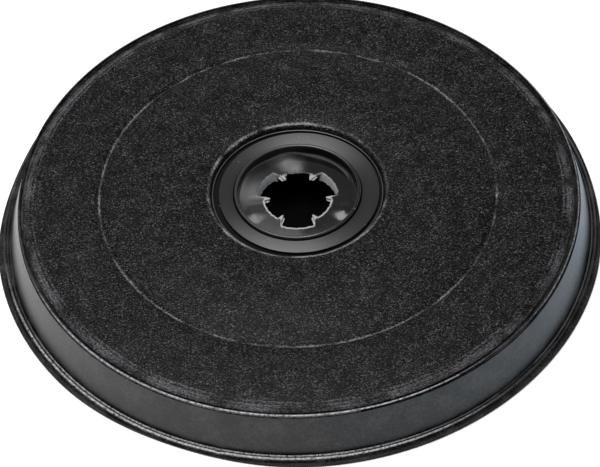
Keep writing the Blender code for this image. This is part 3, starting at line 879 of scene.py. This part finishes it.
for name, width, height, direction in (
    ("fleece_lumps", LUMP_WIDTH, LUMP_HEIGHT, "Z"),
    ("fleece_tufts", TUFT_WIDTH, TUFT_HEIGHT, "NORMAL"),
):
    clouds = bpy.data.textures.new(name, "CLOUDS")
    clouds.noise_scale = width
    clouds.noise_depth = 2
    apply_modifier(
        fleece, "DISPLACE", texture=clouds, texture_coords="LOCAL", direction=direction,
        strength=height, mid_level=0.5,
    )
PRESSED_RINGS = (
    (CREASE_RADIUS, 0.65 * MM, 0.95),
    (WELD_RADIUS - 1.5 * MM, 0.6 * MM, 0.38),
    (WELD_RADIUS, 0.8 * MM, 0.52),
    (WELD_RADIUS + 1.0 * MM, 0.8 * MM, 0.48),
    (WELD_RADIUS + 2.1 * MM, 0.6 * MM, 0.30),
    (HUB_EDGE_RADIUS, 0.8 * MM, 1.6),
)
coat(fleece, nonwoven_fleece("nonwoven_fleece_upper", 0.07, pressed=PRESSED_RINGS))
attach(fleece, "root")
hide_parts("top_fleece")

# Loose fibres of the top fleece. Short polyester hairs that the needling left lying on its
# face, each a bent strand laid down on the fleece, drawn about four times thicker than life.
FIBRE_COUNT = 13000
FIBRE_RADIUS = 0.060 * MM
FIBRE_SHORT = 0.6 * MM
FIBRE_LONG = 2.4 * MM
FIBRE_BEND = math.radians(38)
FIBRE_LIFT = 0.06 * MM
FIBRE_DRIFT = 1.1 * MM
FIBRE_DARK = "#0C0C0C"
FIBRE_PALE = "#C8C8CA"

bpy.ops.object.select_all(action="DESELECT")
bpy.ops.mesh.primitive_circle_add(vertices=3, radius=FIBRE_RADIUS)
bpy.ops.object.convert(target="CURVE")
fibre_section = bpy.context.object

random.seed(11)
strands = bpy.data.curves.new("top_fleece_fibres", "CURVE")
strands.dimensions = "3D"
strands.bevel_mode = "OBJECT"
strands.bevel_object = fibre_section
strands.use_fill_caps = True
inner_edge = HUB_EDGE_RADIUS + 0.3 * MM
outer_edge = WELD_RADIUS + 0.2 * MM
for _ in range(FIBRE_COUNT):
    radius = math.sqrt(random.uniform(inner_edge ** 2, outer_edge ** 2))
    middle = around(radius, random.uniform(0.0, 360.0), CREST_HEIGHT + 5 * MM)
    half = random.uniform(FIBRE_SHORT, FIBRE_LONG) / 2
    heading = random.uniform(0.0, math.pi)
    bend = random.gauss(0.0, FIBRE_BEND) / 2
    thickness = random.uniform(0.6, 1.2)
    tips = [
        middle - half * Vector((math.cos(heading - bend), math.sin(heading - bend), 0.0)),
        middle,
        middle + half * Vector((math.cos(heading + bend), math.sin(heading + bend), 0.0)),
    ]
    lifts = (random.uniform(-1.5, 2.5), 1.0, random.uniform(-1.5, 2.5))
    landed = [fleece.ray_cast(tip, Vector((0.0, 0.0, -1.0)))[1] for tip in tips]
    spline = strands.splines.new("POLY")
    spline.points.add(2)
    for point, place, lift in zip(spline.points, landed, lifts):
        point.co = (place.x, place.y, place.z + lift * FIBRE_LIFT, 1.0)
        point.radius = thickness
fibres = bpy.data.objects.new("top_fleece_fibres", strands)
bpy.context.collection.objects.link(fibres)
choose([fibres])
bpy.ops.object.convert(target="MESH")
bpy.data.objects.remove(fibre_section)
bpy.ops.object.mode_set(mode="EDIT")
bpy.ops.mesh.select_all(action="SELECT")
bpy.ops.mesh.remove_doubles(threshold=0.005 * MM)
bpy.ops.mesh.normals_make_consistent(inside=False)
bpy.ops.object.mode_set(mode="OBJECT")
bpy.ops.object.shade_smooth_by_angle(angle=math.radians(80))


def polyester_fibre(name):
    """Spun polyester fibre, dyed black in the melt: a smooth round hair with a soft shine.

    The eye sees charcoal hairs, some of them paler, whose tone drifts along their length.
    """
    material, tree, shader, place = new_material(name)
    drift = add_node(
        tree, "ShaderNodeTexNoise", {"Scale": 1 / FIBRE_DRIFT, "Detail": 1.0}, {"Vector": place}
    )
    drift = add_node(tree, "ShaderNodeMapRange", {"From Min": 0.62, "From Max": 0.78}, {"Value": drift})
    tone = add_node(
        tree, "ShaderNodeMixRGB", {1: linear(FIBRE_DARK), 2: linear(FIBRE_PALE)}, {0: drift}
    )
    set_up(
        tree, shader, {"Roughness": 0.45, "IOR": 1.57, "Specular IOR Level": 0.15}, {"Base Color": tone}
    )
    return material


coat(fibres, polyester_fibre("spun_polyester_fibre"))
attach(fibres, "root")
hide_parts("top_fleece")


# Hub collar. A flat ring of glossy black plastic, pressed over the hub tube onto the fleece's
# tucked edge, a little off centre. Fine rings from the turned mould run round its face, and a
# thin bead goes round outside it, past a groove full of black dust.
collar_low, collar_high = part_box("hub_collar")
COLLAR_TOP = collar_high.z
COLLAR_LOW = collar_low.z
COLLAR_RADIUS = 30.95 * MM
COLLAR_SHIFT = (0.6 * MM, 0.2 * MM, 0.0)
COLLAR_GROOVE = 1.3 * MM
COLLAR_BEAD = 33.2 * MM
COLLAR_BEAD_WIDTH = 0.7 * MM
COLLAR_BORE = 24.9 * MM
HUB_STEPS = 240
HUB_BLACK = "#040404"
HUB_BLACK_SOFT = "#0B0B0C"
HUB_DUST = "#8A8A8C"
HUB_DUST_WIDTH = 0.9 * MM
SMEAR_WIDTH = 5 * MM


def gloss_plastic(name, clear, hazed, shine, turned=0.0):
    """Black hub plastic, moulded glossy; turned is how far its tool's lathe rings show.

    The eye sees a glossy black face with faint smears and a few grains of dust, clear on the
    right and hazed by handling on the left. On a turned face the highlight is drawn out across
    the rings, as on the back of a record.
    """
    material, tree, shader, place = new_material(name)
    smear = add_node(
        tree, "ShaderNodeTexNoise", {"Scale": 1 / SMEAR_WIDTH, "Detail": 3.0, "Roughness": 0.55},
        {"Vector": place},
    )
    tone = add_node(
        tree, "ShaderNodeMixRGB", {1: linear(HUB_BLACK), 2: linear(HUB_BLACK_SOFT)}, {0: smear}
    )
    dust = add_node(
        tree, "ShaderNodeTexNoise", {"Scale": 1 / HUB_DUST_WIDTH, "Detail": 1.0}, {"Vector": place}
    )
    dust = add_node(tree, "ShaderNodeMapRange", {"From Min": 0.77, "From Max": 0.80}, {"Value": dust})
    tone = add_node(tree, "ShaderNodeMixRGB", {2: linear(HUB_DUST)}, {0: dust, 1: tone})
    sides = add_node(tree, "ShaderNodeSeparateXYZ", {}, {0: place})
    haze = add_node(
        tree, "ShaderNodeMath", {"operation": "MULTIPLY_ADD", 1: 14 * MM},
        {0: smear, 2: sides.outputs["X"]},
    )
    gloss = add_node(
        tree, "ShaderNodeMapRange",
        {"interpolation_type": "SMOOTHSTEP", "From Min": 4 * MM, "From Max": 14 * MM,
         "To Min": hazed, "To Max": clear},
        {"Value": haze},
    )
    set_up(tree, shader, {"IOR": shine}, {"Base Color": tone, "Roughness": gloss})
    if turned:
        rings = add_node(tree, "ShaderNodeTangent", {"direction_type": "RADIAL", "axis": "Z"})
        set_up(tree, shader, {"Anisotropic": turned, "Anisotropic Rotation": 0.25}, {"Tangent": rings})
    return material


collar = turn("hub_collar_ring", [
    (COLLAR_BORE, COLLAR_TOP, 0.15 * MM),
    (COLLAR_RADIUS, COLLAR_TOP, 0.15 * MM),
    (COLLAR_RADIUS + 0.05 * MM, COLLAR_TOP - COLLAR_GROOVE, 0.05 * MM),
    (COLLAR_BEAD - COLLAR_BEAD_WIDTH, COLLAR_TOP - COLLAR_GROOVE, 0.05 * MM),
    (COLLAR_BEAD - COLLAR_BEAD_WIDTH, COLLAR_TOP - 0.15 * MM, 0.25 * MM),
    (COLLAR_BEAD, COLLAR_TOP - 0.15 * MM, 0.25 * MM),
    (COLLAR_BEAD, COLLAR_LOW, 0.1 * MM),
    (COLLAR_BORE, COLLAR_LOW, 0.1 * MM),
], HUB_STEPS)
bpy.ops.object.mode_set(mode="EDIT")
pick(collar, lambda place: COLLAR_BORE + 2 * MM < place.xy.length < COLLAR_RADIUS + 0.2 * MM)
bpy.ops.transform.translate(value=COLLAR_SHIFT)
bpy.ops.object.mode_set(mode="OBJECT")
coat(
    collar,
    gloss_plastic("turned_gloss_plastic", 0.42, 0.42, 1.75, turned=0.9),
    gloss_plastic("dusty_gloss_plastic", 0.70, 0.70, 1.20),
    gloss_plastic("rounded_gloss_plastic", 0.32, 0.32, 1.75),
)
for face in collar.data.polygons:
    if face.center.xy.length > COLLAR_BEAD - COLLAR_BEAD_WIDTH - 0.02 * MM:
        face.material_index = 2
    elif face.center.z < COLLAR_TOP - 0.3 * MM:
        face.material_index = 1
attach(collar, "root")
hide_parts("hub_collar")


# Bayonet socket. A glossy black cup with a raised round lip, let into the hub. Its sunk plate has the
# three-lobed hole, with two teeth beside each lobe and a skirt hanging below each lobe, and the hole's
# edge and walls are rubbed pale by the hood's boss. Along the near edge the pale band is laid wider as
# a painted highlight, and the far walls are painted lighter still as painted light.
socket_low, socket_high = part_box("bayonet_socket")
SOCKET_RADIUS = socket_high.x
LIP_TOP = socket_high.z
SOCKET_FOOT = socket_low.z
SOCKET_BORE = 22.9 * MM
LIP_ROUND = 0.62 * MM
PLATE_TOP = LIP_TOP - 4.3 * MM
HOLE_WALL = 0.96 * MM
PLATE_RINGS = 1.0 * MM
FILLET = 0.35 * MM
LOBE_COUNT = 3
LOBE_RADIUS = 15.8 * MM
LOBE_HALF_ANGLE = math.radians(23.5)
ARC_RADIUS = 13.0 * MM
TOOTH_RADIUS = 10.8 * MM
TOOTH_MIDDLE = math.radians(32.0)
TOOTH_HALF_ANGLE = math.radians(3.5)
FLANK_ANGLE = math.radians(1.3)
EDGE_WEAR = 0.07 * MM
FIRST_LOBE = math.radians(-90.0)
SKIRT_DEPTH = 4.3 * MM
SKIRT_LEAN = 0.6 * MM
SKIRT_WALL = 1.2 * MM
EDGE_WIDTH = 0.65 * MM
EDGE_RISE = 0.12 * MM
TOOTH_WORN = 2.2 * MM
PLATE_DISH = 0.30 * MM
HOLE_STEPS = 480
PLATE_DENTS = (
    (13.5 * MM, 97.0, 7.0 * MM, -0.60 * MM),
    (21.5 * MM, 101.0, 9.5 * MM, 1.05 * MM),
    (19.0 * MM, -154.0, 5.0 * MM, 0.85 * MM),
    (17.0 * MM, -22.0, 6.0 * MM, 0.65 * MM),
    (20.0 * MM, 150.0, 14.0 * MM, 1.10 * MM),
)
# Pale worn plastic at the hole, also used as a painted highlight along its near edge; the lighter pair
# paints light on the far walls.
WORN_AND_HIGHLIGHT_GREY = "#858587"
WORN_AND_HIGHLIGHT_WHITE = "#B8B8BA"
WORN_AND_LIT_GREY = "#D0D0D2"
WORN_AND_LIT_WHITE = "#FAFAFA"
SCUFF_WIDTH = 0.8 * MM


def angle_from_lobe(place):
    """Angle between a place and the middle of the nearest lobe, from 0 to half a pitch."""
    pitch = 2 * math.pi / LOBE_COUNT
    turned = (math.atan2(place.y, place.x) - FIRST_LOBE) % pitch
    return min(turned, pitch - turned)


def ease(value, start, end):
    """Rise smoothly from 0 at the start to 1 at the end."""
    share = min(1.0, max(0.0, (value - start) / (end - start)))
    return share * share * (3 - 2 * share)


def hole_radius(place):
    """Radius of the hole's worn edge in the direction of a place."""
    angle = angle_from_lobe(place)
    lobe = ease(angle, LOBE_HALF_ANGLE - FLANK_ANGLE, TOOTH_MIDDLE - FLANK_ANGLE)
    radius = LOBE_RADIUS + (ARC_RADIUS - LOBE_RADIUS) * lobe
    tooth = ease(
        abs(angle - TOOTH_MIDDLE), TOOTH_HALF_ANGLE + FLANK_ANGLE, TOOTH_HALF_ANGLE - 2 * FLANK_ANGLE
    )
    radius += (TOOTH_RADIUS - ARC_RADIUS) * tooth
    heading = math.atan2(place.y, place.x)
    wear = math.sin(31 * heading + 1.3) + 0.7 * math.sin(53 * heading + 4.1)
    return radius + EDGE_WEAR * wear


cup = turn("bayonet_socket_cup", [
    (SOCKET_BORE + 0.2 * MM, LIP_TOP, LIP_ROUND),
    (SOCKET_RADIUS - 0.1 * MM, LIP_TOP, LIP_ROUND),
    (SOCKET_RADIUS, SOCKET_FOOT, 0.3 * MM),
    (SOCKET_BORE, SOCKET_FOOT, 0.3 * MM),
], HUB_STEPS)

bpy.ops.object.select_all(action="DESELECT")
bpy.ops.mesh.primitive_circle_add(
    vertices=HOLE_STEPS, radius=SOCKET_BORE + 0.3 * MM, fill_type="NOTHING",
    location=(0.0, 0.0, PLATE_TOP + FILLET),
)
plate = bpy.context.object
bpy.ops.object.transform_apply(location=True, rotation=True, scale=True)
bpy.ops.object.mode_set(mode="EDIT")
bpy.ops.mesh.select_all(action="SELECT")
rings = [(SOCKET_BORE - 0.05 * MM, FILLET), (SOCKET_BORE - 0.2 * MM, FILLET * 0.35),
         (SOCKET_BORE - FILLET, -PLATE_DISH * 0.8)]
rings += [(radius, -PLATE_DISH * ease(radius, LOBE_RADIUS, SOCKET_BORE)) for radius in evenly(
    SOCKET_BORE - FILLET - PLATE_RINGS, LOBE_RADIUS + TOOTH_WORN + 0.5 * MM, PLATE_RINGS
)]
radius_before, height_before = SOCKET_BORE + 0.3 * MM, FILLET
for radius, height in rings:
    share = radius / radius_before
    pull((0.0, 0.0, height - height_before))
    bpy.ops.transform.resize(value=(share, share, 1.0), center_override=(0.0, 0.0, PLATE_TOP))
    radius_before, height_before = radius, height
for margin, rise in (
    (TOOTH_WORN, 0.0), (EDGE_WIDTH, 0.0), (EDGE_WIDTH * 0.8, EDGE_RISE), (0.0, EDGE_RISE)
):
    bpy.ops.mesh.extrude_region_move()
    mesh = bmesh.from_edit_mesh(plate.data)
    for vert in mesh.verts:
        if vert.select:
            radius = hole_radius(vert.co) + margin
            reach = radius / vert.co.xy.length
            dish = PLATE_DISH * ease(radius, LOBE_RADIUS, SOCKET_BORE)
            vert.co = (vert.co.x * reach, vert.co.y * reach, PLATE_TOP + rise - dish)
    bmesh.update_edit_mesh(plate.data)
pull((0.0, 0.0, -HOLE_WALL))
pick(plate, lambda place: place.z < PLATE_TOP - 0.5 * MM
     and angle_from_lobe(place) < LOBE_HALF_ANGLE + math.radians(2.0))
pull((0.0, 0.0, HOLE_WALL - SKIRT_DEPTH))
share = 1 - SKIRT_LEAN / LOBE_RADIUS
bpy.ops.transform.resize(value=(share, share, 1.0), center_override=(0.0, 0.0, PLATE_TOP))
bpy.ops.mesh.select_all(action="SELECT")
bpy.ops.mesh.normals_make_consistent(inside=False)
bpy.ops.object.mode_set(mode="OBJECT")


def rubbed_plastic(name, darker, lighter):
    """Hub plastic gone pale where metal has rubbed and bruised it.

    The eye sees a dull grey to whitish skin, patchy every millimetre or so. On the socket part of this
    paleness is painted light: a wider band along the near edge is a painted highlight, and the lighter
    copy on the far walls is painted light.
    """
    material, tree, shader, place = new_material(name)
    scuff = add_node(
        tree, "ShaderNodeTexNoise", {"Scale": 1 / SCUFF_WIDTH, "Detail": 3.0, "Roughness": 0.65},
        {"Vector": place},
    )
    scuff = add_node(tree, "ShaderNodeMapRange", {"From Min": 0.35, "From Max": 0.65}, {"Value": scuff})
    tone = add_node(tree, "ShaderNodeMixRGB", {1: linear(darker), 2: linear(lighter)}, {0: scuff})
    bruise = add_node(
        tree, "ShaderNodeBump", {"Strength": 0.5, "Distance": 0.1 * MM}, {"Height": scuff}
    )
    set_up(tree, shader, {"Roughness": 0.5, "IOR": 1.54}, {"Base Color": tone, "Normal": bruise})
    return material


for radius, angle, reach, rise in PLATE_DENTS:
    swell(plate, around(radius, angle, PLATE_TOP), reach, (0.0, 0.0, rise))
coat(
    plate,
    gloss_plastic("moulded_gloss_plastic", 0.16, 0.35, 1.6),
    rubbed_plastic("worn_and_highlight_gloss_plastic", WORN_AND_HIGHLIGHT_GREY, WORN_AND_HIGHLIGHT_WHITE),
    rubbed_plastic("worn_and_painted_lit_gloss_plastic", WORN_AND_LIT_GREY, WORN_AND_LIT_WHITE),
)
coat(cup, plate.data.materials[0])
# Pale wear round the teeth and the hole's edge; along the near edge the band is laid wider as a painted
# highlight, and the far walls take the lighter copy as painted light.
for face in plate.data.polygons:
    highlight_and_wear = EDGE_WIDTH if face.center.y < 0.0 else 0.05 * MM
    if face.center.xy.length < ARC_RADIUS + 0.2 * MM:
        highlight_and_wear = TOOTH_WORN
    if face.center.xy.length < hole_radius(face.center) + highlight_and_wear and (
        abs(face.center.x) > ARC_RADIUS / 3 or face.center.y < 0.0
    ):
        face.material_index = 2 if face.center.y > 0.0 and abs(face.normal.z) < 0.5 else 1
apply_modifier(plate, "SOLIDIFY", thickness=SKIRT_WALL, offset=-1.0)
apply_modifier(
    plate, "BEVEL", width=0.3 * MM, segments=2, limit_method="ANGLE",
    angle_limit=math.radians(50), material=1,
)
bpy.ops.object.shade_smooth_by_angle(angle=math.radians(40))
socket = join([cup, plate])
socket.name = "bayonet_socket_moulding"
socket.data.name = socket.name
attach(socket, "root")
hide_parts("bayonet_socket")
